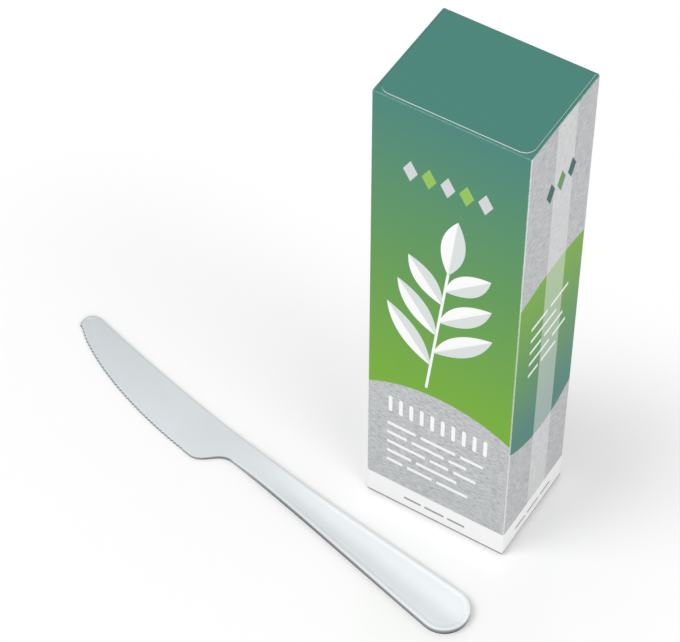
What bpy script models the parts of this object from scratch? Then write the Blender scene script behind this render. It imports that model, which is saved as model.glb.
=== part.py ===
# A sealed carton of plastic table knives standing upright, and one knife lying flat in front of it.
# Metres, +Z up. The origin is the middle of the carton's base, and the carton's front faces -Y.

import math

import bmesh
import bpy
from mathutils import Vector

# Carton, folded from one sheet of board
CARTON_WIDTH = 0.0565
CARTON_DEPTH = 0.043
CARTON_HEIGHT = 0.205
BOARD = 0.0004  # thickness of the board
UPRIGHT_FOLD_RADIUS = 0.0008  # outside radius of the four upright folds
END_FOLD_RADIUS = 0.0006  # outside radius of the folds at the top and bottom
FLAP_SHOULDER = 0.0006  # from the end fold to the cut edge of the outer flap glued over it
FLAP_CORNER_RADIUS = 0.004  # at the outer flap's two free corners
FLAP_ROOT_RADIUS = 0.0002  # where the outer flap's cut edge meets its fold
SEAM_WIDTH = 0.0004  # the open line beside the glued seam, down the back
SEAM_DEPTH = 0.0003
SEAM_FROM_FLAP = 0.0005  # from the outer flap's cut edge to the seam
CORNER_STEPS = 4
FOLD_STEPS = 3

# Knife, outline: x runs from the nose to the end of the handle, and y up towards the spine
KNIFE_LENGTH = 0.198
NOSE_RADIUS = 0.0043
NOSE_HEIGHT = 0.0063  # of the nose's centre above the knife's middle line
NOSE_TOP_ANGLE = 86  # where the nose's arc runs into the spine, in degrees
NOSE_CORNER_ANGLE = 223  # where the arc ends at the first tooth
HEEL_AT = 0.075  # from the nose to the lowest point of the blade
BLADE_DROP = 0.01215  # the blade's lowest point below the middle line
NECK_AT = 0.0885  # where the heel has run into the handle
NECK_DROP = 0.00375  # the handle's lower edge below the middle line at the neck
SPINE_NECK_AT = 0.104  # where the spine is nearest the middle line
SPINE_NECK_RISE = 0.0057
HANDLE_END_RADIUS = 0.0093
HANDLE_END_HEIGHT = 0.0001  # of the end arc's centre above the middle line

# Each curve's two handles, as shares of the way along and of the way up from its start to its end
SPINE_BEND = ((0.31, 0.67), (0.66, 1))
UPPER_HANDLE_BEND = ((0.25, 0), (0.66, 0.62))
BELLY_BEND = ((0.21, 0.6), (0.59, 1))
HEEL_BEND = ((0.47, 0), (0.52, 1))
LOWER_HANDLE_BEND = ((0.26, 0), (0.62, 0.6))

# Knife, section
BLADE_THICKNESS = 0.0018
CUTTING_THICKNESS = 0.0007
HANDLE_THICKNESS = 0.0026
WEDGE_WIDTH = 0.0115  # how far in from the cutting edge the blade reaches its full thickness
THICKENS_FROM = 0.070
THICKENS_OVER = 0.032
EDGE_ROUND = 0.0006  # how far in the rounded upper edge reaches
EDGE_FALL = 0.00035  # how far it falls
UNDER_EDGE_RISE = 0.00025  # how far the rounded lower edge rises
EDGE_SHARE = 0.3  # the most of the thickness that one rounded edge takes
RIM_WIDTH = 0.0009  # from the handle's edge to where its dished face starts to fall
RIM_SLOPE = 0.0013  # how wide the fall behind the rim is
RIM_FALL = 0.0004
HOLLOW_REACH = 0.0075  # how far behind the rim the hollow reaches its floor
HOLLOW_FALL = 0.0005  # how far that floor lies below the foot of the rim
DISH_FROM = 0.092  # from the nose to where the handle's face starts to dish
DISH_OVER = 0.045

# Knife, teeth
TOOTH_PITCH = 0.00165
TOOTH_DEPTH = 0.0003
TEETH_END = 0.0715  # from the nose to the last tooth

# How finely the knife's outline is drawn
NOSE_STEPS = 4
HEEL_STEPS = 9
HANDLE_STEPS = 14
END_STEPS = 7
HALVINGS = 40  # steps in finding where a curve reaches an x

# Where the knife lies
KNIFE_TURN = -11  # degrees from the carton's front
KNIFE_CLEARANCE = 0.012  # between the carton's corner and the handle's widest part
KNIFE_OVERHANG = 0.008  # how far the handle's end passes the carton

# Finishes. Colours are linear
PRINTED_GREEN = (0.115, 0.341, 0.130, 1)
BOARD_ROUGHNESS = 0.42
PALE_PLASTIC = (0.723, 0.768, 0.791, 1)
PLASTIC_ROUGHNESS = 0.5
SHARP_ANGLE = 35  # faces that meet at more degrees than this have a sharp edge


def material(name, colour, roughness):
    made = bpy.data.materials.new(name)
    made.use_nodes = True
    shader = made.node_tree.nodes["Principled BSDF"]
    shader.inputs["Base Color"].default_value = colour
    shader.inputs["Roughness"].default_value = roughness
    shader.inputs["Metallic"].default_value = 0
    made.diffuse_color = colour
    return made


def node(name, mesh_builder, finish):
    mesh = bpy.data.meshes.new(name)
    bmesh.ops.recalc_face_normals(mesh_builder, faces=mesh_builder.faces)
    mesh_builder.to_mesh(mesh)
    mesh_builder.free()
    mesh.materials.append(finish)
    mesh.shade_smooth()
    mesh.set_sharp_from_angle(angle=math.radians(SHARP_ANGLE))
    made = bpy.data.objects.new(name, mesh)
    bpy.context.scene.collection.objects.link(made)
    return made


def ring(mesh_builder, points):
    return [mesh_builder.verts.new(point) for point in points]


def bridge(mesh_builder, lower, upper):
    """Faces between two closed rings of as many points."""
    for i in range(len(lower)):
        j = (i + 1) % len(lower)
        mesh_builder.faces.new((lower[i], lower[j], upper[j], upper[i]))


# Carton

FLAP_EDGE = END_FOLD_RADIUS + FLAP_SHOULDER
SEAM_X = -CARTON_WIDTH / 2 + UPRIGHT_FOLD_RADIUS + FLAP_SHOULDER + SEAM_FROM_FLAP + SEAM_WIDTH / 2


def end_paths():
    """The way over an end fold, as pairs of how far in from the wall and how far from the carton's end.

    The outer flap is hinged on the back. On the other three sides its cut edge stands on the flaps below it.
    """
    fold = []
    for step in range(FOLD_STEPS + 1):
        angle = math.pi / 2 * step / FOLD_STEPS
        fold.append((END_FOLD_RADIUS * (1 - math.cos(angle)), END_FOLD_RADIUS * (1 - math.sin(angle))))
    sides = [(inset, drop + BOARD) for inset, drop in fold]
    sides += [(FLAP_EDGE, BOARD), (FLAP_EDGE, 0)]
    back = [(0, END_FOLD_RADIUS + BOARD)] + fold + [(FLAP_EDGE, 0)]
    return sides, back


def seam_points(back_y, drop):
    """The groove beside the glued seam, from right to left as seen from the front."""
    right = SEAM_X + SEAM_WIDTH / 2
    left = SEAM_X - SEAM_WIDTH / 2
    return [(right, back_y, drop), (SEAM_X, back_y - SEAM_DEPTH, drop), (left, back_y, drop)]


def carton_ring(side, back, on_flap, top):
    """One ring round the carton. side and back each give how far in and how far from the end."""
    points = []
    corners = ((1, -1, -90), (1, 1, 0), (-1, 1, 90), (-1, -1, 180))
    for toward_x, toward_y, start in corners:
        at_back = toward_y > 0
        if on_flap:
            radius = FLAP_ROOT_RADIUS if at_back else FLAP_CORNER_RADIUS
        else:
            radius = max(UPRIGHT_FOLD_RADIUS - side[0], FLAP_ROOT_RADIUS)
        inset = back[0] if at_back else side[0]
        centre_x = toward_x * (CARTON_WIDTH / 2 - side[0] - radius)
        centre_y = toward_y * (CARTON_DEPTH / 2 - inset - radius)
        if at_back and toward_x < 0:
            points += seam_points(centre_y + radius, back[1])
        for step in range(CORNER_STEPS + 1):
            angle = math.radians(start + 90 * step / CORNER_STEPS)
            share = max(math.sin(angle), 0) if at_back else 0
            drop = side[1] + (back[1] - side[1]) * share
            points.append((centre_x + radius * math.cos(angle), centre_y + radius * math.sin(angle), drop))
    if top:
        points = [(x, y, CARTON_HEIGHT - drop) for x, y, drop in points]
    return points


def build_carton():
    sides, back = end_paths()
    flap_from = len(sides) - 2
    steps = [(sides[i], back[i], i >= flap_from) for i in range(len(sides))]
    mesh_builder = bmesh.new()
    rings = [ring(mesh_builder, carton_ring(*step, top=False)) for step in reversed(steps)]
    rings += [ring(mesh_builder, carton_ring(*step, top=True)) for step in steps]
    for lower, upper in zip(rings, rings[1:]):
        bridge(mesh_builder, lower, upper)
    mesh_builder.faces.new(list(reversed(rings[0])))
    mesh_builder.faces.new(rings[-1])
    return node("carton", mesh_builder, material("printed_board", PRINTED_GREEN, BOARD_ROUGHNESS))


# Knife outline

def on_arc(centre, radius, degrees):
    angle = math.radians(degrees)
    return centre + Vector((math.cos(angle), math.sin(angle))) * radius


def curve(start, end, bend):
    """A cubic curve's four points. It never turns back along x."""
    span = end - start
    handles = [Vector((start.x + span.x * along, start.y + span.y * up)) for along, up in bend]
    return [start, *handles, end]


NOSE_CENTRE = Vector((NOSE_RADIUS, NOSE_HEIGHT))
NOSE_TOP = on_arc(NOSE_CENTRE, NOSE_RADIUS, NOSE_TOP_ANGLE)
NOSE_CORNER = on_arc(NOSE_CENTRE, NOSE_RADIUS, NOSE_CORNER_ANGLE)
SPINE_NECK = Vector((SPINE_NECK_AT, SPINE_NECK_RISE))
HEEL = Vector((HEEL_AT, -BLADE_DROP))
NECK = Vector((NECK_AT, -NECK_DROP))
END_CENTRE = Vector((KNIFE_LENGTH - HANDLE_END_RADIUS, HANDLE_END_HEIGHT))

SPINE = curve(NOSE_TOP, SPINE_NECK, SPINE_BEND)
UPPER_HANDLE = curve(SPINE_NECK, on_arc(END_CENTRE, HANDLE_END_RADIUS, 90), UPPER_HANDLE_BEND)
BELLY = curve(NOSE_CORNER, HEEL, BELLY_BEND)
HEEL_TO_NECK = curve(HEEL, NECK, HEEL_BEND)
LOWER_HANDLE = curve(NECK, on_arc(END_CENTRE, HANDLE_END_RADIUS, -90), LOWER_HANDLE_BEND)


def point_at(points, share):
    start, leave, arrive, end = points
    rest = 1 - share
    return start * rest**3 + leave * 3 * rest**2 * share + arrive * 3 * rest * share**2 + end * share**3


def share_at(points, x):
    """How far along a curve it reaches this x, by halving."""
    low, high = 0.0, 1.0
    for _ in range(HALVINGS):
        middle = (low + high) / 2
        if point_at(points, middle).x < x:
            low = middle
        else:
            high = middle
    return low


def station(points, share, side):
    """A curve's point and the direction square to it into the knife. side is 1 on the spine and -1 below."""
    start, leave, arrive, end = points
    rest = 1 - share
    along = (leave - start) * rest**2 + (arrive - leave) * 2 * rest * share + (end - arrive) * share**2
    into = Vector((along.y, -along.x)).normalized() * side
    return point_at(points, share), into


def arc_station(centre, radius, degrees):
    point = on_arc(centre, radius, degrees)
    return point, (centre - point).normalized()


def spine_side(x):
    """The upper outline's point at this x, and the direction into the knife."""
    if x <= NOSE_TOP.x:
        degrees = math.degrees(math.acos((x - NOSE_CENTRE.x) / NOSE_RADIUS))
        return arc_station(NOSE_CENTRE, NOSE_RADIUS, degrees)
    if x >= END_CENTRE.x:
        degrees = math.degrees(math.acos((x - END_CENTRE.x) / HANDLE_END_RADIUS))
        return arc_station(END_CENTRE, HANDLE_END_RADIUS, degrees)
    points = SPINE if x < SPINE_NECK.x else UPPER_HANDLE
    return station(points, share_at(points, x), 1)


def lower_side():
    """The lower outline from nose to end: point, direction into the knife, and how far a gullet cuts in."""
    stations = []
    for step in range(1, NOSE_STEPS + 1):
        degrees = 180 + (NOSE_CORNER_ANGLE - 180) * step / NOSE_STEPS
        stations.append((*arc_station(NOSE_CENTRE, NOSE_RADIUS, degrees), 0))
    toothed = TEETH_END - NOSE_CORNER.x
    teeth = round(toothed / TOOTH_PITCH)
    for half in range(1, 2 * teeth + 1):
        share = share_at(BELLY, NOSE_CORNER.x + toothed * half / (2 * teeth))
        stations.append((*station(BELLY, share, -1), TOOTH_DEPTH * (half % 2)))
    stations.append((*station(BELLY, 1, -1), 0))
    for points, steps in ((HEEL_TO_NECK, HEEL_STEPS), (LOWER_HANDLE, HANDLE_STEPS)):
        stations += [(*station(points, (step + 1) / steps, -1), 0) for step in range(steps)]
    for step in range(1, END_STEPS + 1):
        degrees = -90 + 90 * step / (END_STEPS + 1)
        stations.append((*arc_station(END_CENTRE, HANDLE_END_RADIUS, degrees), 0))
    return stations


# Knife solid

def smooth(value, start, over):
    share = min(max((value - start) / over, 0), 1)
    return share * share * (3 - 2 * share)


def top_height(x, from_edge, from_cutting_edge):
    """The height of the knife's upper face: the blade is a wedge, and the handle is dished behind a rim."""
    handle = smooth(x, THICKENS_FROM, THICKENS_OVER)
    full = BLADE_THICKNESS + (HANDLE_THICKNESS - BLADE_THICKNESS) * handle
    thinner = (1 - min(max(from_cutting_edge, 0) / WEDGE_WIDTH, 1)) ** 2
    wedge = (full - CUTTING_THICKNESS) * thinner * (1 - handle)
    fall = RIM_FALL * smooth(from_edge, RIM_WIDTH, RIM_SLOPE)
    fall += HOLLOW_FALL * smooth(from_edge, RIM_WIDTH, HOLLOW_REACH)
    return full - wedge - fall * smooth(x, DISH_FROM, DISH_OVER)


def build_knife():
    lower = lower_side()
    upper = [spine_side(point.x) for point, _, _ in lower]
    count = len(lower)
    last = 2 * count - 1

    def layer(inset, level):
        """A closed ring at this distance in: the spine side, then back along the lower side.

        level gives a point's height from the height of the face above it.
        """
        points = []
        for i in range(2 * count):
            on_spine = i < count
            across = upper[i] if on_spine else lower[last - i]
            width = (upper[min(i, last - i)][0] - lower[min(i, last - i)][0]).length
            cut = 0 if on_spine or inset else lower[last - i][2]
            spot = across[0] + across[1] * (inset + cut)
            face = top_height(across[0].x, inset, width - inset if on_spine else inset)
            points.append((spot.x, spot.y, level(face)))
        return points

    layers = (
        layer(EDGE_ROUND, lambda face: 0),
        layer(0, lambda face: min(UNDER_EDGE_RISE, EDGE_SHARE * face)),
        layer(0, lambda face: face - min(EDGE_FALL, EDGE_SHARE * face)),
        layer(EDGE_ROUND, lambda face: face),
        layer(RIM_WIDTH, lambda face: face),
        layer(RIM_WIDTH + RIM_SLOPE, lambda face: face),
    )
    mesh_builder = bmesh.new()
    rings = [ring(mesh_builder, points) for points in layers]
    for below, above in zip(rings, rings[1:]):
        bridge(mesh_builder, below, above)

    under = rings[0]
    for i in range(count - 1):
        mesh_builder.faces.new((under[i], under[i + 1], under[last - i - 1], under[last - i]))

    # The upper face is closed over a line down its middle, which stops one station short of each end
    top = rings[-1]
    middle = {}
    for i in range(1, count - 1):
        spot = (top[i].co + top[last - i].co) / 2
        half_width = (upper[i][0] - lower[i][0]).length / 2
        spot.z = top_height(spot.x, half_width, half_width)
        middle[i] = mesh_builder.verts.new(spot)
    mesh_builder.faces.new((top[0], top[1], middle[1], top[last - 1], top[last]))
    for i in range(1, count - 2):
        mesh_builder.faces.new((top[i], top[i + 1], middle[i + 1], middle[i]))
        mesh_builder.faces.new((middle[i], middle[i + 1], top[last - i - 1], top[last - i]))
    i = count - 2
    mesh_builder.faces.new((top[i], top[i + 1], top[last - i - 1], top[last - i], middle[i]))
    return node("knife", mesh_builder, material("moulded_plastic", PALE_PLASTIC, PLASTIC_ROUGHNESS))


def lay_knife(knife):
    """Puts the knife in front of the carton, its handle clear of the carton's left front corner."""
    turn = math.radians(KNIFE_TURN)
    along = Vector((math.cos(turn), math.sin(turn), 0))
    away = Vector((math.sin(turn), -math.cos(turn), 0))
    corner = Vector((-CARTON_WIDTH / 2, -CARTON_DEPTH / 2, 0))
    passing = corner + away * (KNIFE_CLEARANCE + HANDLE_END_RADIUS)
    handle_end = passing + along * (CARTON_WIDTH / math.cos(turn) + KNIFE_OVERHANG)
    knife.location = handle_end - along * KNIFE_LENGTH
    knife.rotation_euler = (0, 0, turn)


def main():
    for old in list(bpy.data.objects):
        bpy.data.objects.remove(old, do_unlink=True)
    build_carton()
    lay_knife(build_knife())


main()
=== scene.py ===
import math

import bpy
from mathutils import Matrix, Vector


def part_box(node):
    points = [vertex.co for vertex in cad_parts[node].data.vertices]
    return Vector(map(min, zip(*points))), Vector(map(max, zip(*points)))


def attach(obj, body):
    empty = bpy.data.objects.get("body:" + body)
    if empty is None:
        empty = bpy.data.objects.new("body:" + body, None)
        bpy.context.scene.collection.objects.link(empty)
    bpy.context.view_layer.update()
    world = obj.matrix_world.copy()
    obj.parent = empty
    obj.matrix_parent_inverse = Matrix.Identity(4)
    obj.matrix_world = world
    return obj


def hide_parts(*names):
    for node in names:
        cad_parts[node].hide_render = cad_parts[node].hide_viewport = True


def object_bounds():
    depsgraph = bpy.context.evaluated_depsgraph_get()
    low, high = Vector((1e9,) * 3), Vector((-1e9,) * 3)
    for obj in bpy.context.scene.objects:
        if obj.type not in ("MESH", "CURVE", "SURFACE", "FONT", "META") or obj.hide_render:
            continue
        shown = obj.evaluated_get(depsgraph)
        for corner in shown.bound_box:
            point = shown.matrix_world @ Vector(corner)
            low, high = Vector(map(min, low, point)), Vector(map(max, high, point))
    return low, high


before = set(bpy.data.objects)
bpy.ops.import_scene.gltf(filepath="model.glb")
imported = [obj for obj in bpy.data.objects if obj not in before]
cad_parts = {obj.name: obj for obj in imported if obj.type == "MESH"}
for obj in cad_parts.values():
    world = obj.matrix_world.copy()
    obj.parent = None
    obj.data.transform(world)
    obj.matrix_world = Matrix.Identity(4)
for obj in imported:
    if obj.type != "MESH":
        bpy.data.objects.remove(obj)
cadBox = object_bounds()
print("frame loaded")

# A sealed carton of plastic table knives, and the one knife that lies in front of it.


# Shader building

class Value:  # what a node gives out: sums on one that is a number add Math nodes
    def __init__(self, finish, socket):
        self.finish = finish
        self.socket = socket

    def __add__(self, other):
        return self.finish.maths("ADD", self, other)

    def __sub__(self, other):
        return self.finish.maths("SUBTRACT", self, other)

    def __rsub__(self, other):
        return self.finish.maths("SUBTRACT", other, self)

    def __mul__(self, other):
        return self.finish.maths("MULTIPLY", self, other)

    def __truediv__(self, other):
        return self.finish.maths("DIVIDE", self, other)

    def __pow__(self, other):
        return self.finish.maths("POWER", self, other)

    def __abs__(self):
        return self.finish.maths("ABSOLUTE", self)

    __radd__ = __add__
    __rmul__ = __mul__


class Finish:  # the nodes of one material, or of the world
    def __init__(self, owner):
        owner.use_nodes = True
        self.owner = owner
        self.tree = owner.node_tree
        self.skin = self.tree.nodes.get("Principled BSDF")

    def node(self, kind, settings, inputs, output=0):
        made = self.tree.nodes.new("ShaderNode" + kind)
        for name, value in settings.items():
            if name == "stops":
                fillRamp(made.color_ramp, value)
            else:
                setattr(made, name, value)
        for key, value in inputs.items():
            self.feed(made.inputs[key], value)
        return Value(self, made.outputs[output])

    def feed(self, socket, value):
        if isinstance(value, Value):
            self.tree.links.new(value.socket, socket)
        else:
            socket.default_value = value

    def maths(self, operation, *terms):
        return self.node("Math", {"operation": operation}, dict(enumerate(terms)))

    def smaller(self, a, b):
        return self.maths("MINIMUM", a, b)

    def larger(self, a, b):
        return self.maths("MAXIMUM", a, b)

    def inside(self, distance, softness):  # 1 where distance is positive, 0 where negative
        return self.node("MapRange", {"interpolation_type": "SMOOTHSTEP"},
                         {"Value": distance, "From Min": -softness / 2, "From Max": softness / 2})

    def blend(self, share, first, second):  # a Mix node's colours are its inputs 6 and 7 and output 2
        return self.node("Mix", {"data_type": "RGBA"}, {0: share, 6: first, 7: second}, 2)

    def noise(self, place, scale, detail):
        return self.node("TexNoise", {}, {"Vector": place, "Scale": scale, "Detail": detail})

    def place(self, x, y, z):
        return self.node("CombineXYZ", {}, {"X": x, "Y": y, "Z": z})

    def here(self):  # the three object coordinates, in metres
        spot = self.node("TexCoord", {}, {}, "Object")
        return [self.node("SeparateXYZ", {}, {"Vector": spot}, axis) for axis in "XYZ"]

    def bump(self, height, depth, strength):
        facing = self.node("Bump", {}, {"Height": height, "Distance": depth, "Strength": strength})
        self.feed(self.skin.inputs["Normal"], facing)

    def set(self, **sockets):
        for name, value in sockets.items():
            self.feed(self.skin.inputs[socketNames[name]], value)


socketNames = {
    "colour": "Base Color",
    "roughness": "Roughness",
    "gloss": "Specular IOR Level",
    "scatter": "Subsurface Weight",
    "scatterReach": "Subsurface Radius",
    "scatterScale": "Subsurface Scale",
}


def newFinish(name):
    return Finish(bpy.data.materials.new(name))


def fillRamp(ramp, stops):
    while len(ramp.elements) < len(stops):
        ramp.elements.new(0.5)
    for element, (at, colour) in zip(ramp.elements, stops):
        element.position = at
        element.color = colour


def tint(red, green, blue):  # 0 to 255 as seen on a screen
    def linear(level):
        share = level / 255
        return share / 12.92 if share <= 0.04045 else ((share + 0.055) / 1.055) ** 2.4
    return linear(red), linear(green), linear(blue), 1.0


def smooth(value, start, over):
    share = min(max((value - start) / over, 0), 1)
    return share * share * (3 - 2 * share)


def makePiece(name, points, faces, node, sharpAngle):
    mesh = bpy.data.meshes.new(name)
    mesh.from_pydata(points, [], faces)
    mesh.validate()
    mesh.shade_smooth()
    mesh.set_sharp_from_angle(angle=math.radians(sharpAngle))
    piece = bpy.data.objects.new(name, mesh)
    bpy.context.scene.collection.objects.link(piece)
    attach(piece, "root")
    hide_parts(node)
    return piece


# Camera: it looks down on the knife, as the photograph does

camera = {
    "azimuth": 32,
    "elevation": 50,
    "distance": 0.95,
    "imageWidth": 680,
    "imageHeight": 642,
    "margin": 8,  # in pixels
    "sensor": 36,
    "firstFocal": 1000.0,  # in pixels, and corrected in each round
    "rounds": 12,
}


def placeCamera(sizes):
    turn = math.radians(sizes["azimuth"])
    lift = math.radians(sizes["elevation"])
    back = Vector((math.sin(turn) * math.cos(lift), -math.cos(turn) * math.cos(lift), math.sin(lift)))
    right = Vector((math.cos(turn), math.sin(turn), 0))
    up = back.cross(right)
    outline = [vertex.co.copy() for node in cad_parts.values() for vertex in node.data.vertices]
    target = (cadBox[0] + cadBox[1]) / 2
    focal = sizes["firstFocal"]
    for _ in range(sizes["rounds"]):
        eye = target + back * sizes["distance"]
        across = []
        down = []
        for point in outline:
            ray = point - eye
            depth = -ray.dot(back)
            across.append(focal * ray.dot(right) / depth)
            down.append(focal * ray.dot(up) / depth)
        middle = (max(across) + min(across)) / 2, (max(down) + min(down)) / 2
        room = sizes["imageWidth"] - 2 * sizes["margin"], sizes["imageHeight"] - 2 * sizes["margin"]
        growth = min(room[0] / (max(across) - min(across)), room[1] / (max(down) - min(down)))
        target += (right * middle[0] + up * middle[1]) * sizes["distance"] / focal
        focal *= growth
    lens = bpy.data.cameras.new("camera")
    lens.sensor_width = sizes["sensor"]
    lens.lens = focal * sizes["sensor"] / sizes["imageWidth"]
    eyePiece = bpy.data.objects.new("camera", lens)
    bpy.context.scene.collection.objects.link(eyePiece)
    eyePiece.location = target + back * sizes["distance"]
    eyePiece.rotation_euler = back.to_track_quat("Z", "Y").to_euler()
    bpy.context.scene.camera = eyePiece
    print("camera placed, lens", round(lens.lens, 1))


placeCamera(camera)


# Knife

knife = {
    "length": 0.198,
    "noseRadius": 0.0043,
    "noseHeight": 0.0063,
    "noseTopAngle": 86,
    "noseCornerAngle": 223,
    "heelAt": 0.075,
    "bladeDrop": 0.01215,
    "neckAt": 0.0885,
    "neckDrop": 0.00375,
    "spineNeckAt": 0.104,
    "spineNeckRise": 0.0057,
    "endRadius": 0.0093,
    "endHeight": 0.0001,
    "bends": {  # each curve's two handles: shares of the way along and up
        "spine": ((0.31, 0.67), (0.66, 1)),
        "upperHandle": ((0.25, 0), (0.66, 0.62)),
        "belly": ((0.21, 0.6), (0.59, 1)),
        "heel": ((0.47, 0), (0.52, 1)),
        "lowerHandle": ((0.26, 0), (0.62, 0.6)),
    },
    "bladeThickness": 0.0018,
    "cuttingThickness": 0.0007,
    "handleThickness": 0.0026,
    "wedgeWidth": 0.0115,
    "thickensFrom": 0.070,
    "thickensOver": 0.032,
    "edgeRound": 0.0006,
    "edgeFall": 0.00035,
    "underEdgeRise": 0.00025,
    "edgeShare": 0.3,
    "ringStep": 0.00015,  # from the rounded edge to the first ring inside it
    "ringGrowth": 1.06,
    "rimWidth": 0.0009,
    "rimSlope": 0.0013,
    "rimFall": 0.0004,
    "hollowFall": 0.0005,
    "dishFrom": 0.092,
    "dishOver": 0.045,
    "toothPitch": 0.00165,
    "toothDepth": 0.00045,
    "toothReach": 0.0012,  # how far up the blade a gullet runs out
    "firstStep": 0.00035,  # how far the nose's corner stands out past the first tooth
    "stepReach": 0.008,
    "teethEnd": 0.0715,
    "endTurn": 3,  # degrees by which the end's arc starts early, to meet the handle's slope
    "lineFade": 0.004,
    "turn": -11,
    "clearance": 0.012,
    "overhang": 0.008,
    "noseSteps": 16,
    "toothSteps": 8,
    "heelSteps": 26,
    "handleSteps": 64,
    "endSteps": 28,
    "roundSteps": 5,
    "rungs": 8,
    "sharpAngle": 50,
}


def onArc(centre, radius, degrees):
    angle = math.radians(degrees)
    return centre + Vector((math.cos(angle), math.sin(angle))) * radius


def curveThrough(start, end, bend):
    span = end - start
    handles = [Vector((start.x + span.x * along, start.y + span.y * up)) for along, up in bend]
    return [start, *handles, end]


def curvePoint(points, share):
    start, leave, arrive, end = points
    rest = 1 - share
    return start * rest**3 + leave * 3 * rest**2 * share + arrive * 3 * rest * share**2 + end * share**3


halvings = 40


def shareAt(points, x):  # curves never turn back along x, so halving finds the place
    low = 0.0
    high = 1.0
    for _ in range(halvings):
        middle = (low + high) / 2
        if curvePoint(points, middle).x < x:
            low = middle
        else:
            high = middle
    return low


def curveStation(points, share, side):
    start, leave, arrive, end = points
    rest = 1 - share
    along = (leave - start) * rest**2 + (arrive - leave) * 2 * rest * share + (end - arrive) * share**2
    return curvePoint(points, share), Vector((along.y, -along.x)).normalized() * side


def arcStation(centre, radius, degrees):
    point = onArc(centre, radius, degrees)
    return point, (centre - point).normalized()


def sawTooth(share):  # 0 at a tooth's point, 1 in the gullet halfway to the next, both slightly rounded
    rise = 1 - abs(2 * share - 1)
    return (rise + smooth(rise, 0, 1)) / 2


class KnifeOutline:  # x runs from the nose to the end of the handle, y up towards the spine
    def __init__(self, sizes):
        self.sizes = sizes
        bends = sizes["bends"]
        self.noseCentre = Vector((sizes["noseRadius"], sizes["noseHeight"]))
        self.endCentre = Vector((sizes["length"] - sizes["endRadius"], sizes["endHeight"]))
        self.noseTop = onArc(self.noseCentre, sizes["noseRadius"], sizes["noseTopAngle"])
        self.noseCorner = onArc(self.noseCentre, sizes["noseRadius"], sizes["noseCornerAngle"])
        self.spineNeck = Vector((sizes["spineNeckAt"], sizes["spineNeckRise"]))
        heel = Vector((sizes["heelAt"], -sizes["bladeDrop"]))
        neck = Vector((sizes["neckAt"], -sizes["neckDrop"]))
        self.handleTop = onArc(self.endCentre, sizes["endRadius"], 90 + sizes["endTurn"])
        handleUnder = onArc(self.endCentre, sizes["endRadius"], -90 - sizes["endTurn"])
        self.spine = curveThrough(self.noseTop, self.spineNeck, bends["spine"])
        self.upperHandle = curveThrough(self.spineNeck, self.handleTop, bends["upperHandle"])
        self.belly = curveThrough(self.noseCorner, heel, bends["belly"])
        self.heel = curveThrough(heel, neck, bends["heel"])
        self.lowerHandle = curveThrough(neck, handleUnder, bends["lowerHandle"])

    def spineSide(self, x):
        for centre, radius, holds in (
            (self.noseCentre, self.sizes["noseRadius"], x <= self.noseTop.x),
            (self.endCentre, self.sizes["endRadius"], x >= self.handleTop.x),
        ):
            if holds:
                return arcStation(centre, radius, math.degrees(math.acos((x - centre.x) / radius)))
        points = self.spine if x < self.spineNeck.x else self.upperHandle
        return curveStation(points, shareAt(points, x), 1)

    def lowerSide(self):  # each station: point, direction into the knife, how far a gullet cuts
        sizes = self.sizes
        stations = []
        for step in range(1, sizes["noseSteps"] + 1):
            degrees = 180 + (sizes["noseCornerAngle"] - 180) * step / sizes["noseSteps"]
            stations.append((*arcStation(self.noseCentre, sizes["noseRadius"], degrees), 0))
        # the first gullet comes straight after the nose's corner, and the last tooth ends on its point
        toothed = sizes["teethEnd"] - self.noseCorner.x
        count = round(toothed / sizes["toothPitch"]) * sizes["toothSteps"] + sizes["toothSteps"] // 2
        noseInward = (self.noseCentre - self.noseCorner).normalized()
        for step in range(1, count + 1):
            gone = toothed * step / count
            point, inward = curveStation(self.belly, shareAt(self.belly, self.noseCorner.x + gone), -1)
            settled = smooth(gone, 0, sizes["stepReach"])
            cut = sizes["toothDepth"] * sawTooth((step / sizes["toothSteps"] + 0.5) % 1)
            cut += sizes["firstStep"] * (1 - settled)
            stations.append((point, noseInward.lerp(inward, settled).normalized(), cut))
        stations.append((*curveStation(self.belly, 1, -1), 0))
        for points, steps in ((self.heel, sizes["heelSteps"]), (self.lowerHandle, sizes["handleSteps"])):
            stations += [(*curveStation(points, (step + 1) / steps, -1), 0) for step in range(steps)]
        for step in range(1, sizes["endSteps"] + 1):
            degrees = (90 + sizes["endTurn"]) * (step / (sizes["endSteps"] + 1) - 1)
            stations.append((*arcStation(self.endCentre, sizes["endRadius"], degrees), 0))
        return stations


def knifeTop(sizes, x, fromEdge, fromCutting, halfWidth):  # height of the upper face
    handle = smooth(x, sizes["thickensFrom"], sizes["thickensOver"])
    full = sizes["bladeThickness"] + (sizes["handleThickness"] - sizes["bladeThickness"]) * handle
    thinner = (1 - min(max(fromCutting, 0) / sizes["wedgeWidth"], 1)) ** 2
    wedge = (full - sizes["cuttingThickness"]) * thinner * (1 - handle)
    fall = sizes["rimFall"] * smooth(fromEdge, sizes["rimWidth"], sizes["rimSlope"])
    floorReach = max(halfWidth - sizes["rimWidth"], sizes["rimSlope"])
    fall += sizes["hollowFall"] * smooth(fromEdge, sizes["rimWidth"], floorReach)
    return full - wedge - fall * smooth(x, sizes["dishFrom"], sizes["dishOver"])


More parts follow.
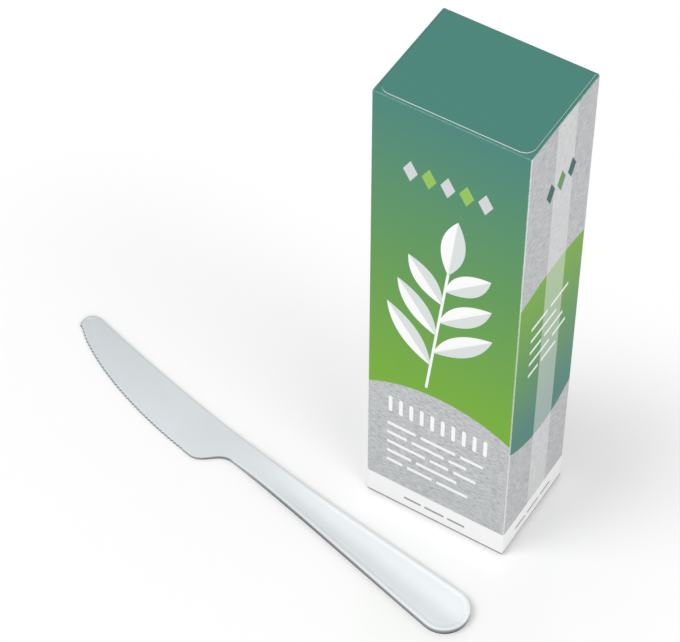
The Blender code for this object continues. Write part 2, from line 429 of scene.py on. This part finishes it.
def knifeLayers(sizes):  # how far in each ring lies, and its height from the face's height
    quarter = [math.pi / 2 * step / sizes["roundSteps"] for step in range(sizes["roundSteps"] + 1)]
    layers = []
    for angle in quarter:
        inset = sizes["edgeRound"] * (1 - math.sin(angle))
        layers.append((inset, lambda face, a=angle: lowRound(sizes, face) * (1 - math.cos(a))))
    for angle in quarter:
        inset = sizes["edgeRound"] * (1 - math.cos(angle))
        layers.append((inset, lambda face, a=angle: face - highRound(sizes, face) * (1 - math.sin(a))))
    inset = sizes["edgeRound"]
    step = sizes["ringStep"]
    while inset < sizes["rimWidth"] + 2 * sizes["rimSlope"]:
        inset += step
        layers.append((inset, lambda face: face))
        step *= sizes["ringGrowth"]
    return layers


def lowRound(sizes, face):
    return min(sizes["underEdgeRise"], sizes["edgeShare"] * face)


def highRound(sizes, face):
    return min(sizes["edgeFall"], sizes["edgeShare"] * face)


def buildKnife(sizes):
    outline = KnifeOutline(sizes)
    lower = outline.lowerSide()
    upper = [outline.spineSide(point.x) for point, _, _ in lower]
    count = len(lower)
    last = 2 * count - 1
    widths = [(upper[i][0] - lower[i][0]).length for i in range(count)]
    halfWidths = [width / 2 for width in widths]
    for i in range(count):  # at the handle's round end the hollow's reach is the arc's radius
        if lower[i][0].x > outline.endCentre.x:
            halfWidths[i] = sizes["endRadius"]

    points = []
    faces = []
    fromEdges = []
    darkSides = []  # 1 where the painted shade line along the edge shows: the blade's lower side and round the nose
    layers = knifeLayers(sizes)
    for inset, level in layers:
        for i in range(2 * count):
            onSpine = i < count
            across = upper[i] if onSpine else lower[last - i]
            width = widths[min(i, last - i)]
            half = halfWidths[min(i, last - i)]
            fade = max(1 - inset / sizes["toothReach"], 0)
            cut = 0 if onSpine else lower[last - i][2] * fade
            spot = across[0] + across[1] * (inset + cut)
            fromCutting = max(width - inset, inset) if onSpine else inset
            face = knifeTop(sizes, spot.x, inset, fromCutting, half)
            points.append((spot.x, spot.y, level(face)))
            fromEdges.append(inset)
            fadeFrom = outline.noseTop.x if onSpine else sizes["neckAt"]
            darkSides.append(1 - smooth(across[0].x, fadeFrom - sizes["lineFade"] / 2, sizes["lineFade"]))
    for ring in range(len(layers) - 1):
        start = ring * 2 * count
        for i in range(2 * count):
            j = (i + 1) % (2 * count)
            faces.append((start + i, start + 2 * count + i, start + 2 * count + j, start + j))

    for i in range(count - 1):  # the flat underside
        faces.append((i, i + 1, last - i - 1, last - i))

    # The rest of the upper face is a ladder of rungs between its two sides
    base = (len(layers) - 1) * 2 * count
    rungStart = len(points)
    rungs = sizes["rungs"]
    reached = layers[-1][0]
    for i in range(1, count - 1):
        high = Vector(points[base + i])
        low = Vector(points[base + last - i])
        farthest = max(widths[i] - reached, reached)
        for step in range(1, rungs):
            spot = high.lerp(low, step / rungs)
            fromCutting = farthest + (reached - farthest) * step / rungs
            fromEdge = reached + min((high - spot).to_2d().length, (low - spot).to_2d().length)
            if spot.x > outline.endCentre.x:
                fromEdge = sizes["endRadius"] - (spot.to_2d() - outline.endCentre).length
            spot.z = knifeTop(sizes, spot.x, fromEdge, fromCutting, halfWidths[i])
            points.append(tuple(spot))
            fromEdges.append(fromEdge)
            darkSides.append(0)

    def rung(i, step):
        if step == 0:
            return base + i
        if step == rungs:
            return base + last - i
        return rungStart + (i - 1) * (rungs - 1) + step - 1

    for i in range(1, count - 2):
        for step in range(rungs):
            faces.append((rung(i, step), rung(i, step + 1), rung(i + 1, step + 1), rung(i + 1, step)))
    for near, far in ((1, 0), (count - 2, count - 1)):
        edge = [rung(near, step) for step in range(rungs + 1)] + [base + last - far, base + far]
        faces.append(tuple(edge if near > 1 else reversed(edge)))
    piece = makePiece("table_knife", points, faces, "knife", sizes["sharpAngle"])
    for name, values in (("fromEdge", fromEdges), ("darkSide", darkSides)):
        piece.data.attributes.new(name, "FLOAT", "POINT").data.foreach_set("value", values)
    return piece


def layKnife(piece, sizes):  # the same place as in the frame, worked out from the carton's corner
    low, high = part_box("carton")
    turn = math.radians(sizes["turn"])
    along = Vector((math.cos(turn), math.sin(turn), 0))
    away = Vector((math.sin(turn), -math.cos(turn), 0))
    passing = Vector((low.x, low.y, 0)) + away * (sizes["clearance"] + sizes["endRadius"])
    handleEnd = passing + along * ((high.x - low.x) / math.cos(turn) + sizes["overhang"])
    piece.location = handleEnd - along * sizes["length"]
    piece.rotation_euler = (0, 0, turn)


plastic = {
    "tones": [  # share of the knife's length, and the face's colour there, greyer towards the nose as painted shade
        (0.02, tint(202, 208, 211)),
        (0.28, tint(215, 221, 224)),
        (0.42, tint(215, 220, 223)),
        (0.54, tint(227, 232, 235)),
        (0.95, tint(239, 243, 246)),
    ],
    "edgeShadeLine": (0.00034, 0.00022, 0.48),  # painted shade line along the blade's edge: width, softness, depth
    "edgeHighlight": (0.00085, 0.00050, 0.035),  # and the thin painted highlight inside it
    "wallFoot": 0.03,  # painted shade on the side walls beside the faces: how bright they are at the foot and at the top
    "wallTop": 0.50,
    "wallHeight": 0.0019,
    "wallSlope": 0.60,  # upward part of the facing direction at which a wall turns into a face
    "wallSoftness": 0.5,
    "bladeWall": (0.098, 0.026, 0.38),  # the painted wall shade is paler on the blade: up to where, over what length, how much
    "hollowFrom": 0.087,
    "hollowOver": 0.042,
    # painted shade and painted highlight across the hollow: each band's place across, half width and
    # change in tone
    "hollowBands": [(-0.0046, 0.0042, -0.105), (0.0024, 0.0030, 0.028)],
    "cloud": (140, 4),  # each noise: scale and detail
    "grain": (2400, 2),
    "cloudTone": 0.035,
    "grainTone": 0.02,
    "roughness": 0.46,
    "cloudRoughness": 0.12,
    "scatter": 0.12,
    "scatterReach": (0.9, 1.0, 1.05),
    "scatterScale": 0.0015,
    "cloudBump": 0.5,
    "bump": (0.00003, 0.35),  # depth and strength
}


def plasticFinish(sizes):
    finish = newFinish("moulded_plastic")
    x, y, z = finish.here()
    spot = finish.place(x, y, z)
    colour = finish.node("ValToRGB", {"stops": sizes["tones"]}, {"Fac": x / knife["length"]})
    cloud = finish.noise(spot, *sizes["cloud"])
    grain = finish.noise(spot, *sizes["grain"])
    facing = finish.node("NewGeometry", {}, {}, "True Normal")
    up = finish.node("SeparateXYZ", {}, {"Vector": facing}, "Z")
    # painted shade: the side walls are darkened, most at their foot and less along the blade
    wall = 1 - finish.inside(abs(up) - sizes["wallSlope"], sizes["wallSoftness"])
    wallShade = finish.node("MapRange", {}, {
        "Value": z, "From Min": 0.0, "From Max": sizes["wallHeight"],
        "To Min": sizes["wallFoot"], "To Max": sizes["wallTop"],
    })
    paleTo, paleOver, paler = sizes["bladeWall"]
    wallShade = wallShade + (1 - wallShade) * finish.inside(paleTo - x, paleOver) * paler
    level = 1 - wall * (1 - wallShade) + (cloud - 0.5) * sizes["cloudTone"]
    level = level + (grain - 0.5) * sizes["grainTone"]
    # painted shade on the hollow's lower side and a painted highlight above its middle
    hollow = finish.inside(x - sizes["hollowFrom"] - sizes["hollowOver"] / 2, sizes["hollowOver"])
    for middle, halfWidth, change in sizes["hollowBands"]:
        level = level + finish.inside(halfWidth - abs(y - middle), 2 * halfWidth) * hollow * change
    fromEdge = finish.node("Attribute", {"attribute_name": "fromEdge"}, {}, "Fac")
    darkSide = finish.node("Attribute", {"attribute_name": "darkSide"}, {}, "Fac")
    # a painted highlight and a painted shade line along the blade's edge and round the nose
    for (reach, softness, change), sign in ((sizes["edgeHighlight"], 1), (sizes["edgeShadeLine"], -1)):
        level = level * (1 + finish.inside(reach - fromEdge, softness) * darkSide * (sign * change))
    grey = finish.place(level, level, level)
    shaded = finish.node("VectorMath", {"operation": "MULTIPLY"}, {0: colour, 1: grey})
    finish.set(colour=shaded, roughness=sizes["roughness"] + (cloud - 0.5) * sizes["cloudRoughness"])
    finish.set(
        scatter=sizes["scatter"],
        scatterReach=sizes["scatterReach"],
        scatterScale=sizes["scatterScale"],
    )
    finish.bump(grain + cloud * sizes["cloudBump"], *sizes["bump"])
    return finish.owner


knifePiece = buildKnife(knife)
layKnife(knifePiece, knife)
knifePiece.data.materials.append(plasticFinish(plastic))
print("knife made,", len(knifePiece.data.polygons), "faces")


# Carton

carton = {
    "board": 0.0004,
    "uprightRadius": 0.0008,
    "endRadius": 0.0006,
    "flapShoulder": 0.0006,
    "flapCornerRadius": 0.004,
    "flapRootRadius": 0.0002,
    "seamWidth": 0.0004,
    "seamDepth": 0.0003,
    "seamFromFlap": 0.0005,
    "bow": 0.00022,  # how far the middle of a panel stands proud
    "bowFullness": 0.7,  # below 1 the bow keeps more of its depth near the ends
    "endSlope": 0.7,  # upward part of the facing direction past which a face is top or base
    "cornerSteps": 8,
    "foldSteps": 6,
    "panelSteps": 10,
    "heightSteps": 26,
    "sharpAngle": 32,
}

cartonLow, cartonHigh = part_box("carton")
cartonWidth = cartonHigh.x - cartonLow.x
cartonDepth = cartonHigh.y - cartonLow.y
cartonHeight = cartonHigh.z - cartonLow.z


def endPaths(sizes):  # how far in from the wall and down from the end, over each end fold
    radius = sizes["endRadius"]
    board = sizes["board"]
    flapEdge = radius + sizes["flapShoulder"]
    fold = []
    for step in range(sizes["foldSteps"] + 1):
        angle = math.pi / 2 * step / sizes["foldSteps"]
        fold.append((radius * (1 - math.cos(angle)), radius * (1 - math.sin(angle))))
    sides = [(inset, drop + board) for inset, drop in fold] + [(flapEdge, board), (flapEdge, 0)]
    back = [(0, radius + board)] + fold + [(flapEdge, 0)]
    return sides, back


def cartonRing(sizes, side, back, onFlap, bow):
    seamX = sizes["uprightRadius"] + sizes["flapShoulder"] + sizes["seamFromFlap"]
    seamX += (sizes["seamWidth"] - cartonWidth) / 2
    corners = []
    for towardX, towardY, start in ((1, -1, -90), (1, 1, 0), (-1, 1, 90), (-1, -1, 180)):
        atBack = towardY > 0
        if onFlap:
            radius = sizes["flapRootRadius"] if atBack else sizes["flapCornerRadius"]
        else:
            radius = max(sizes["uprightRadius"] - side[0], sizes["flapRootRadius"])
        inset = back[0] if atBack else side[0]
        centreX = towardX * (cartonWidth / 2 - side[0] - radius)
        centreY = towardY * (cartonDepth / 2 - inset - radius)
        corner = []
        for step in range(sizes["cornerSteps"] + 1):
            angle = math.radians(start + 90 * step / sizes["cornerSteps"])
            share = max(math.sin(angle), 0) if atBack else 0
            drop = side[1] + (back[1] - side[1]) * share
            pointX = centreX + radius * math.cos(angle)
            pointY = centreY + radius * math.sin(angle)
            corner.append(Vector((pointX, pointY, drop)))
        corners.append(corner)

    def panel(first, second, outward):  # the points between two corners, standing slightly proud
        between = []
        for step in range(1, sizes["panelSteps"]):
            share = step / sizes["panelSteps"]
            proud = bow * math.sin(math.pi * share)
            between.append(first.lerp(second, share) + Vector(outward) * proud)
        return between

    ring = corners[0] + panel(corners[0][-1], corners[1][0], (1, 0, 0)) + corners[1]
    wallY = corners[1][-1].y
    drop = back[1]
    half = sizes["seamWidth"] / 2
    groove = [Vector((seamX + half, wallY, drop)), Vector((seamX, wallY - sizes["seamDepth"], drop)),
              Vector((seamX - half, wallY, drop))]
    ring += panel(corners[1][-1], groove[0], (0, 1, 0)) + groove + corners[2]
    ring += panel(corners[2][-1], corners[3][0], (-1, 0, 0)) + corners[3]
    ring += panel(corners[3][-1], corners[0][0], (0, -1, 0))
    return ring


def buildCarton(sizes):
    sides, back = endPaths(sizes)
    flapFrom = len(sides) - 2
    rings = []
    cut = []  # which steps between rings are the flap's cut edge
    for i in reversed(range(len(sides))):
        rings.append(cartonRing(sizes, sides[i], back[i], i >= flapFrom, 0))
        cut.append(i == flapFrom + 1)
    wallLow = rings[-1]
    for step in range(1, sizes["heightSteps"]):
        share = step / sizes["heightSteps"]
        bow = sizes["bow"] * math.sin(math.pi * share) ** sizes["bowFullness"]
        bowed = cartonRing(sizes, (0, 0), (0, 0), False, bow)
        for point, foot in zip(bowed, wallLow):
            point.z = foot.z + (cartonHeight - 2 * foot.z) * share
        rings.append(bowed)
        cut.append(False)
    for i in range(len(sides)):
        top = cartonRing(sizes, sides[i], back[i], i >= flapFrom, 0)
        for point in top:
            point.z = cartonHeight - point.z
        rings.append(top)
        cut.append(i == flapFrom)

    points = [tuple(point) for ring in rings for point in ring]
    count = len(rings[0])
    faces = []
    cutEdge = []
    for ring in range(len(rings) - 1):
        for i in range(count):
            j = (i + 1) % count
            start = ring * count
            faces.append((start + i, start + j, start + count + j, start + count + i))
            cutEdge.append(cut[ring])
    faces.append(tuple(reversed(range(count))))
    faces.append(tuple(range(len(points) - count, len(points))))
    cutEdge += [False, False]
    piece = makePiece("knife_carton", points, faces, "carton", sizes["sharpAngle"])
    return piece, cutEdge


# The carton's print: fields of colour on each panel, and plain shapes of our own

colours = {
    "teal": tint(78, 134, 124),
    "midGreen": tint(101, 155, 92),
    "green": tint(123, 177, 60),
    "paleGreen": tint(150, 196, 96),
    "grey": tint(195, 197, 198),
    "darkGrey": tint(160, 163, 166),
    "paleGrey": tint(212, 214, 215),
    "white": tint(252, 252, 252),
    "leafShade": tint(219, 226, 224),
    "deepTeal": tint(58, 102, 98),
    # dark grey of the painted shadow at the carton's foot
    "footShadowGrey": tint(112, 115, 118),
    "board": tint(214, 209, 198),
}

panels = {
    "bandTop": 0.0122,  # the white band round the foot
    "fieldFoot": 0.066,  # up to this height the front's field is plain green
    "frontArch": (0.0, 0.0710, 0.053),  # the grey field's round top: across, height, radius
    "sideArch": (0.0015, 0.1365, 0.080),  # the side's green field: its round top and its round foot
    "sideBowl": (0.0015, 0.0515, 0.040),
    "sideTurn": 0.88,  # how far down the side's field it has turned from green to teal
    "stripe": (0.0015, 0.0063, 0.34),  # on the side panel: its middle, half its width, its strength
    "barStrength": 0.92,
    "edge": 0.00016,  # softness of a printed edge
    "footShadow": (0.0015, 0.0006, 0.9),  # painted shadow where the board turns under at the foot: height, softness, strength
}

folds = {  # pale lines along the folds, partly wear and partly painted highlight: width, how far they wander, softness, strength
    "upright": (0.00032, 0.0005, 0.0004, 0.35),
    "side": (0.00062, 0.0004, 0.0003, 0.55),  # a stronger one on the side panels, as painted highlight
    "end": (0.00032, 0.0009, 0.0006, 0.15),
}

coat = {  # the satin coat over the print
    "noise": (620, 3),  # scale and detail
    "slice": 0.1,  # each noise is cut through at a place of its own
    "endSlice": 0.2,
    "roughness": 0.36,
    "endRoughness": 0.38,
    "roughnessRange": 0.10,
    "wornRoughness": 0.2,  # how much is added where it is worn
    "streakBump": 0.6,
    "bump": (0.00004, 0.30),  # depth and strength
    "gloss": 0.045,
}

core = {  # the bare board at a flap's cut edge
    "noise": (1600, 3),
    "squash": 6,
    "roughness": 0.85,
    "bump": (0.00005, 0.5),
}

fibres = {  # the grey board's three noises: each one's scale and detail, slice and share in the tone
    "streak": (1700, 3),
    "streakSlice": 0.0,
    "streakStretch": 0.24,  # below 1 it runs long across the panel
    "streakTone": 1.5,
    "cloud": (190, 3),
    "cloudSlice": 0.3,
    "cloudTone": 0.35,
    "speck": (1100, 2),
    "speckSlice": 0.7,
    "speckSquash": 1.6,  # above 1 it is wider than high
    "speckTone": 0.6,
    "stops": [(0.15, colours["darkGrey"]), (0.5, colours["grey"]), (0.85, colours["paleGrey"])],
}

sprig = {  # a plain sprig on the front panel
    "foot": (-0.0050, 0.0745),  # across and up
    "lean": 6,
    "length": 0.062,
    "stem": 0.00050,
    "pairs": 3,
    "firstPair": 0.20,  # shares of the stem
    "pairStep": 0.27,
    "stagger": 0.12,
    "spread": 43,
    "lowLeaf": 0.0290,
    "highLeaf": 0.0220,
    "topLeaf": 0.0270,
    "leafWidth": 0.0088,
    "shadeSoftness": 0.00064,
}

lozenges = {  # a plain row of small filled lozenges, in two colours by turns
    "height": 0.1765,
    "halfWidth": 0.0027,
    "halfHeight": 0.0046,
    "pitch": 0.0068,
    "front": (5, ("paleGrey", "paleGreen")),
    "side": (3, ("deepTeal", "midGreen")),
}

strokes = {"middle": 0.0560, "halfHeight": 0.0034, "radius": 0.00075, "pitch": 0.0042, "count": 10}

# Rows of short bars: height of each row, then where each bar starts and ends across the panel
frontRows = [
    (0.0450, [(-0.0200, -0.0085), (-0.0065, 0.0075), (0.0095, 0.0185)]),
    (0.0398, [(-0.0200, -0.0120), (-0.0100, 0.0030), (0.0050, 0.0120)]),
    (0.0346, [(-0.0200, -0.0045), (-0.0025, 0.0050), (0.0070, 0.0160)]),
    (0.0294, [(-0.0200, -0.0100), (-0.0080, 0.0085)]),
    (0.0242, [(-0.0200, -0.0135), (-0.0115, -0.0015), (0.0005, 0.0130)]),
]
sideRows = [
    (0.1160, [(-0.0125, -0.0020), (0.0000, 0.0120)]),
    (0.1100, [(-0.0125, 0.0045)]),
    (0.1040, [(-0.0125, -0.0050), (-0.0030, 0.0095)]),
    (0.0980, [(-0.0125, 0.0010), (0.0030, 0.0120)]),
    (0.0920, [(-0.0125, -0.0060), (-0.0040, 0.0060)]),
]
footRow = [(0.0060, [(-0.0125, -0.0055), (-0.0040, 0.0040), (0.0055, 0.0125)])]
halfBar = {"front": 0.00080, "side": 0.00075, "foot": 0.00055}


def fibreBoard(finish, across, up):  # grey board with short lying fibres
    lying = finish.place(across * fibres["streakStretch"], fibres["streakSlice"], up)
    flat = finish.place(across, fibres["speckSlice"], up * fibres["speckSquash"])
    streak = finish.noise(lying, *fibres["streak"])
    cloud = finish.noise(finish.place(across, fibres["cloudSlice"], up), *fibres["cloud"])
    speck = finish.noise(flat, *fibres["speck"])
    level = 0.5 + (streak - 0.5) * fibres["streakTone"] + (cloud - 0.5) * fibres["cloudTone"]
    level = level + (speck - 0.5) * fibres["speckTone"]
    return finish.node("ValToRGB", {"stops": fibres["stops"]}, {"Fac": level}), streak


# How deep a place lies below an arch (side 1, its top given) or above a bowl (side -1, its foot given)
def withinArch(across, up, arch, side):
    middle, peak, radius = arch
    right = across - middle
    above = up - (peak - radius * side)
    return radius - (right * right + above * above) ** 0.5


def barRows(finish, across, up, rows, halfHeight):
    mask = 0.0
    for height, bars in rows:
        along = -1.0  # far outside every bar
        for start, end in bars:
            along = finish.larger(along, (end - start) / 2 - abs(across - (start + end) / 2))
        mask = finish.inside(finish.smaller(along, halfHeight - abs(up - height)), panels["edge"]) + mask
    return mask


def fromFoot(across, up, foot, lean):  # distances along and beside a line that leans from its foot
    angle = math.radians(lean)
    right = across - foot[0]
    above = up - foot[1]
    along = right * math.sin(angle) + above * math.cos(angle)
    return along, right * math.cos(angle) - above * math.sin(angle)


def sprigLeaves(sizes):  # each leaf's foot, lean and length, in turn up both sides of the stem
    angle = math.radians(sizes["lean"])
    leaves = []

    def addLeaf(share, lean, length):
        along = sizes["length"] * share
        foot = sizes["foot"][0] + along * math.sin(angle), sizes["foot"][1] + along * math.cos(angle)
        leaves.append((foot, lean, length))

    for pair in range(sizes["pairs"]):
        length = sizes["lowLeaf"] + (sizes["highLeaf"] - sizes["lowLeaf"]) * pair / (sizes["pairs"] - 1)
        share = sizes["firstPair"] + sizes["pairStep"] * pair
        addLeaf(share, sizes["lean"] - sizes["spread"], length)
        addLeaf(share + sizes["stagger"], sizes["lean"] + sizes["spread"], length)
    addLeaf(1, sizes["lean"], sizes["topLeaf"])
    return leaves


def capsule(finish, aside, beyond, radius):  # a line with round ends, from the distances to it
    return finish.inside(radius - (aside * aside + beyond * beyond) ** 0.5, panels["edge"])


def drawSprig(finish, across, up, colour):
    along, aside = fromFoot(across, up, sprig["foot"], sprig["lean"])
    beyond = finish.larger(abs(along - sprig["length"] / 2) - sprig["length"] / 2, 0.0)
    colour = finish.blend(capsule(finish, aside, beyond, sprig["stem"]), colour, colours["white"])
    for foot, lean, length in sprigLeaves(sprig):
        along, aside = fromFoot(across, up, foot, lean)
        share = along / length
        body = finish.inside(share * (1 - share) * (2 * sprig["leafWidth"]) - abs(aside), panels["edge"])
        colour = finish.blend(body, colour, colours["white"])
        shade = finish.inside(aside, sprig["shadeSoftness"]) * body
        colour = finish.blend(shade, colour, colours["leafShade"])
    return colour


def drawLozenges(finish, across, up, colour, row):
    wide = lozenges["halfWidth"]
    high = lozenges["halfHeight"]
    count, shades = row
    for i in range(count):
        middle = (i - (count - 1) / 2) * lozenges["pitch"]
        reach = abs(across - middle) / wide + abs(up - lozenges["height"]) / high
        depth = (1 - reach) * (wide * high / math.hypot(wide, high))
        colour = finish.blend(finish.inside(depth, panels["edge"]), colour, colours[shades[i % 2]])
    return colour


def paleFoldLine(finish, fromFold, rough, line):
    width, wander, softness, strength = line
    return finish.inside(width - fromFold + (rough - 0.5) * wander, softness) * strength


def printFinish(name, axis, sign, draw):  # axis: 0 where x runs across the panel, 1 where y does
    finish = newFinish(name)
    here = finish.here()
    across = here[axis] * sign
    up = here[2]
    halfWidth = (cartonWidth if axis == 0 else cartonDepth) / 2
    colour, streak = draw(finish, across, up)
    band = finish.inside(panels["bandTop"] - up, panels["edge"])
    colour = finish.blend(band, colour, colours["white"])
    dashes = barRows(finish, across, up, footRow, halfBar["foot"])
    colour = finish.blend(dashes, colour, colours["darkGrey"])
    # painted shadow along the foot, where the board turns under
    turning, softness, strength = panels["footShadow"]
    colour = finish.blend(finish.inside(turning - up, softness) * strength, colour, colours["footShadowGrey"])
    # pale lines along the upright folds: wear, and painted highlight that is strongest on the side panels
    rough = finish.noise(finish.place(across, coat["slice"], up), *coat["noise"])
    fromFold = halfWidth - abs(across)
    wearAndHighlight = paleFoldLine(finish, fromFold, rough, folds["upright"])
    if axis == 1:
        wearAndHighlight = finish.larger(wearAndHighlight, paleFoldLine(finish, fromFold, rough, folds["side"]))
    colour = finish.blend(wearAndHighlight, colour, colours["white"])
    roughness = coat["roughness"] + (rough - 0.5) * coat["roughnessRange"] + wearAndHighlight * coat["wornRoughness"]
    finish.set(colour=colour, roughness=roughness, gloss=coat["gloss"])
    finish.bump(rough + streak * coat["streakBump"], *coat["bump"])
    return finish.owner


def greenField(finish, share):  # green where the share is 0, teal where it is 1
    stops = [(0.0, colours["green"]), (0.5, colours["midGreen"]), (1.0, colours["teal"])]
    return finish.node("ValToRGB", {"stops": stops}, {"Fac": share})


def frontPrint(finish, across, up, motifs=True):
    grey, streak = fibreBoard(finish, across, up)
    foot = panels["fieldFoot"]
    colour = greenField(finish, (up - foot) / (cartonHeight - foot))
    arch = panels["frontArch"]
    below = finish.larger(withinArch(across, up, arch, 1), arch[1] - arch[2] - up)
    colour = finish.blend(finish.inside(below, panels["edge"]), colour, grey)
    if not motifs:
        return colour, streak
    colour = drawLozenges(finish, across, up, colour, lozenges["front"])
    colour = drawSprig(finish, across, up, colour)
    # a row of upright strokes, one for each knife in the carton
    pitch = strokes["pitch"]
    reach = pitch * strokes["count"] / 2
    nearest = finish.maths("FRACT", (across + reach) / pitch) * pitch - pitch / 2
    beyond = finish.larger(abs(up - strokes["middle"]) - strokes["halfHeight"], 0.0)
    row = capsule(finish, nearest, beyond, strokes["radius"])
    row = row * finish.inside(reach - abs(across), panels["edge"])
    colour = finish.blend(row, colour, colours["white"])
    bars = barRows(finish, across, up, frontRows, halfBar["front"])
    return finish.blend(bars * panels["barStrength"], colour, colours["white"]), streak


def plainPrint(finish, across, up):
    return frontPrint(finish, across, up, motifs=False)


def sidePrint(finish, across, up):
    grey, streak = fibreBoard(finish, across, up)
    arch = panels["sideArch"]
    bowl = panels["sideBowl"]
    field = greenField(finish, (arch[1] - up) / ((arch[1] - bowl[1]) * panels["sideTurn"]))
    # below the arch where the panel is high, above the bowl where it is low
    underArch = finish.larger(withinArch(across, up, arch, 1), arch[1] - arch[2] - up)
    overBowl = finish.larger(withinArch(across, up, bowl, -1), up - bowl[1] - bowl[2])
    colour = finish.blend(finish.inside(finish.smaller(underArch, overBowl), panels["edge"]), grey, field)
    middle, halfStripe, strength = panels["stripe"]
    stripe = finish.inside(halfStripe - abs(across - middle), panels["edge"])
    colour = finish.blend(stripe * strength, colour, colours["white"])
    colour = drawLozenges(finish, across, up, colour, lozenges["side"])
    bars = barRows(finish, across, up, sideRows, halfBar["side"])
    return finish.blend(bars * panels["barStrength"], colour, colours["white"]), streak


def endFinish():  # top and base
    finish = newFinish("end_board")
    x, y, z = finish.here()
    rough = finish.noise(finish.place(x, y, coat["endSlice"]), *coat["noise"])
    isTop = finish.inside(z - cartonHeight / 2, panels["edge"])
    colour = finish.blend(isTop, colours["white"], colours["teal"])
    fromFold = finish.smaller(cartonWidth / 2 - abs(x), cartonDepth / 2 - abs(y))
    colour = finish.blend(paleFoldLine(finish, fromFold, rough, folds["end"]), colour, colours["white"])
    roughness = coat["endRoughness"] + (rough - 0.5) * coat["roughnessRange"]
    finish.set(colour=colour, roughness=roughness, gloss=coat["gloss"])
    finish.bump(rough, *coat["bump"])
    return finish.owner


def cutBoardFinish():  # the bare grey-white core of the board
    finish = newFinish("cut_board")
    x, y, z = finish.here()
    fuzz = finish.noise(finish.place(x, y, z * core["squash"]), *core["noise"])
    colour = finish.blend(fuzz, colours["board"], colours["white"])
    finish.set(colour=colour, roughness=core["roughness"])
    finish.bump(fuzz, *core["bump"])
    return finish.owner


def dressCarton(piece, cutEdge, endSlope):
    made = {
        "front": printFinish("front_print", 0, 1, frontPrint),
        "right": printFinish("side_print", 1, 1, sidePrint),
        "back": printFinish("back_print", 0, -1, plainPrint),
        "left": printFinish("left_print", 1, -1, sidePrint),
        "end": endFinish(),
        "cut": cutBoardFinish(),
    }
    for material in made.values():
        piece.data.materials.append(material)
    slots = list(made)
    for polygon, isCut in zip(piece.data.polygons, cutEdge):
        normal = polygon.normal
        if abs(normal.z) > endSlope:
            place = "end"
        elif isCut:
            place = "cut"
        elif abs(normal.y) >= abs(normal.x):
            place = "front" if normal.y < 0 else "back"
        else:
            place = "right" if normal.x > 0 else "left"
        polygon.material_index = slots.index(place)


cartonPiece, cartonCuts = buildCarton(carton)
dressCarton(cartonPiece, cartonCuts, carton["endSlope"])
print("carton made,", len(cartonPiece.data.polygons), "faces")


# Floor, world and lamps

studio = {
    "floorSize": 12,
    "floorDrop": 0.00005,  # below the pack, so that no two faces share a place
    "floorSeen": 0.99,  # the floor's colour as the camera and reflections see it
    "whiteOver": 0.10,  # how far from the carton and the knife the seen floor has turned to plain white
    "floorBounce": 0.78,
    "floorRoughness": 0.2,
    "sky": 0.62,  # shares of the light that falls on the floor: sky and lamps together give about 1
    "lamps": [
        {"name": "front_key", "place": (-0.75, -0.95, 1.25), "size": 1.1, "share": 0.27},
        {"name": "right_fill", "place": (1.3, -0.6, 0.9), "size": 1.1, "share": 0.14},
    ],
    "aim": (0, 0, 0.06),
}


def seenRays(finish):  # 1 for what the camera sees, straight or in gloss or glass
    kinds = "Is Camera Ray", "Is Glossy Ray", "Is Transmission Ray"
    straight, gloss, glass = [finish.node("LightPath", {}, {}, kind) for kind in kinds]
    return finish.larger(finish.larger(straight, gloss), glass)


def buildFloor(sizes):
    half = sizes["floorSize"] / 2
    mesh = bpy.data.meshes.new("floor")
    corners = [(-half, -half, 0), (half, -half, 0), (half, half, 0), (-half, half, 0)]
    mesh.from_pydata(corners, [], [(0, 1, 2, 3)])
    floor = bpy.data.objects.new("floor", mesh)
    floor.location.z = -sizes["floorDrop"]
    bpy.context.scene.collection.objects.link(floor)
    finish = newFinish("floor")
    seen = seenRays(finish)
    bounce = (sizes["floorBounce"],) * 3 + (1,)
    shown = (sizes["floorSeen"],) * 3 + (1,)
    finish.set(colour=finish.blend(seen, bounce, shown), roughness=sizes["floorRoughness"])
    x, y, _ = finish.here()
    nearest = half
    for low, high in (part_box("carton"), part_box("knife")):
        beyondX = finish.larger(finish.larger(low.x - x, x - high.x), 0.0)
        beyondY = finish.larger(finish.larger(low.y - y, y - high.y), 0.0)
        nearest = finish.smaller(nearest, (beyondX * beyondX + beyondY * beyondY) ** 0.5)
    far = finish.inside(nearest - sizes["whiteOver"] / 2, sizes["whiteOver"])
    skin = Value(finish, finish.skin.outputs[0])
    both = finish.node("MixShader", {}, {0: far * seen, 1: skin, 2: finish.node("Emission", {}, {})})
    finish.feed(finish.tree.nodes["Material Output"].inputs["Surface"], both)
    mesh.materials.append(finish.owner)


def buildWorld(sizes):
    world = bpy.data.worlds.new("studio")
    bpy.context.scene.world = world
    finish = Finish(world)
    background = finish.tree.nodes["Background"]
    finish.feed(background.inputs["Color"], (1, 1, 1, 1))
    limits = {"Value": seenRays(finish), "To Min": sizes["sky"], "To Max": 1.0}
    finish.feed(background.inputs["Strength"], finish.node("MapRange", {}, limits))


def buildLamps(sizes):
    for lamp in sizes["lamps"]:
        back = Vector(lamp["place"]) - Vector(sizes["aim"])
        light = bpy.data.lights.new(lamp["name"], "AREA")
        light.shape = "DISK"
        light.size = lamp["size"]
        # the power that lights a level white surface at the aim to this share of white
        light.energy = lamp["share"] * math.pi**2 * back.length**3 / back.z
        piece = bpy.data.objects.new(lamp["name"], light)
        piece.location = lamp["place"]
        piece.rotation_euler = back.to_track_quat("Z", "Y").to_euler()
        bpy.context.scene.collection.objects.link(piece)


buildFloor(studio)
buildWorld(studio)
buildLamps(studio)
bpy.context.scene.view_settings.view_transform = "Standard"
print("floor and lamps placed")
